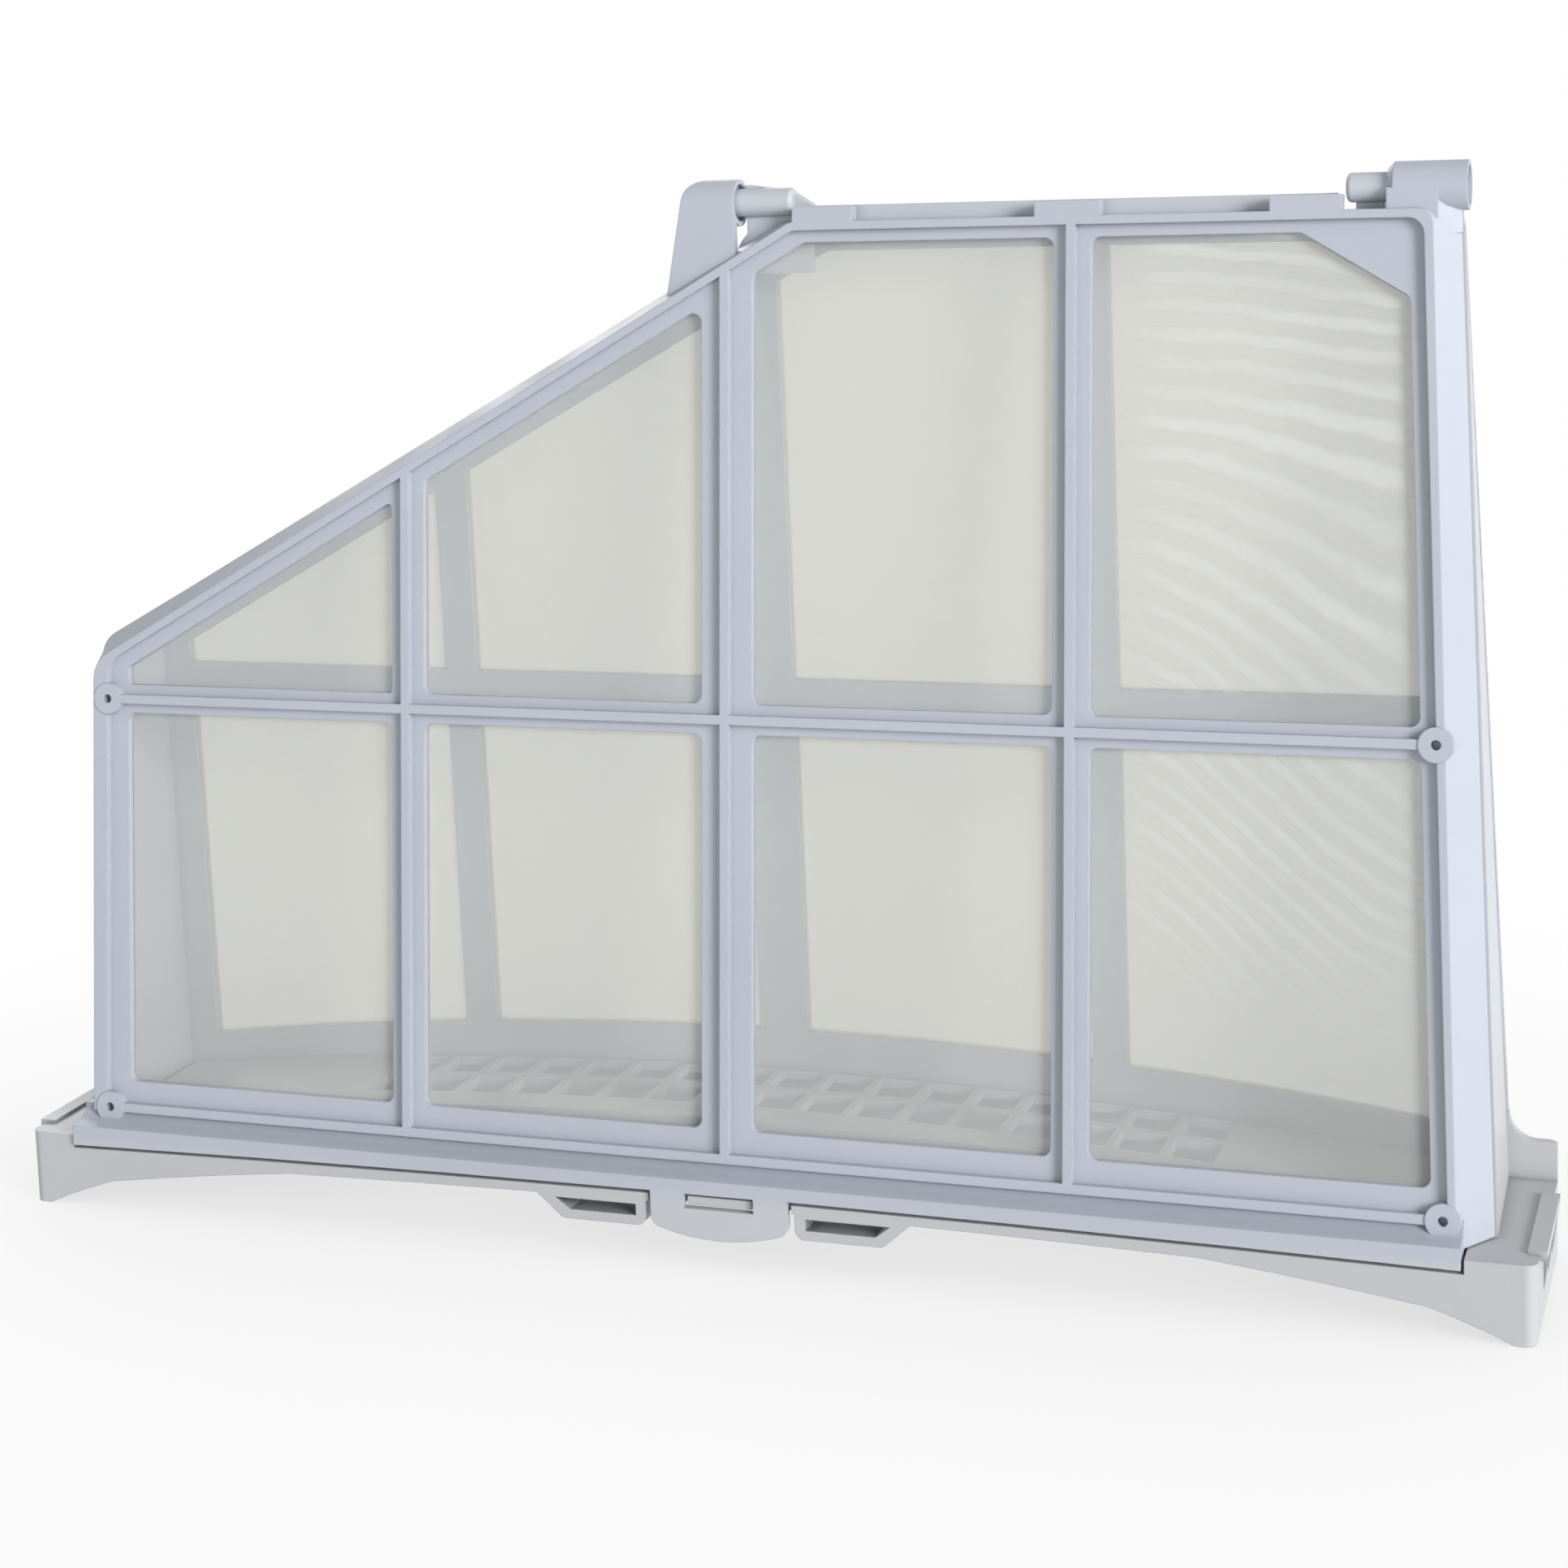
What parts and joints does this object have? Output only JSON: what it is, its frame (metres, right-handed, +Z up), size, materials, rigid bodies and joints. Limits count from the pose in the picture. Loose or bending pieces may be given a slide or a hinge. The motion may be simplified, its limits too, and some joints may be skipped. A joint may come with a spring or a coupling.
{
  "type": "tumble dryer lint filter",
  "caption": "Two-part tumble dryer lint filter: framed mesh halves hinged along the top, the front one closed by a snap tab, the rear one on an arched flange with a grille.",
  "frame": {"origin": "middle of the base, on the surface that the flange stands on", "axes": "+X along the flange towards the hinge barrel, +Y from the front half to the rear half, +Z up from the flange to the hinge"},
  "size_m": [0.405, 0.061, 0.2729],
  "materials": {
    "frame_plastic": "satin",
    "flange_plastic": "satin",
    "mesh": "fine woven mesh"
  },
  "bodies": {
    "rear_half": {"rear_frame": "flange_plastic", "rear_mesh": "mesh"},
    "front_half": {"front_frame": "frame_plastic", "front_mesh": "mesh"}
  },
  "joints": [
    {"name": "front_half_hinge", "type": "hinge", "parent": "rear_half", "child": "front_half", "pos_m": [0.08, 0.00697, 0.26697], "axis": [-1, 0, 0], "range_deg": [0, 120]}
  ]
}
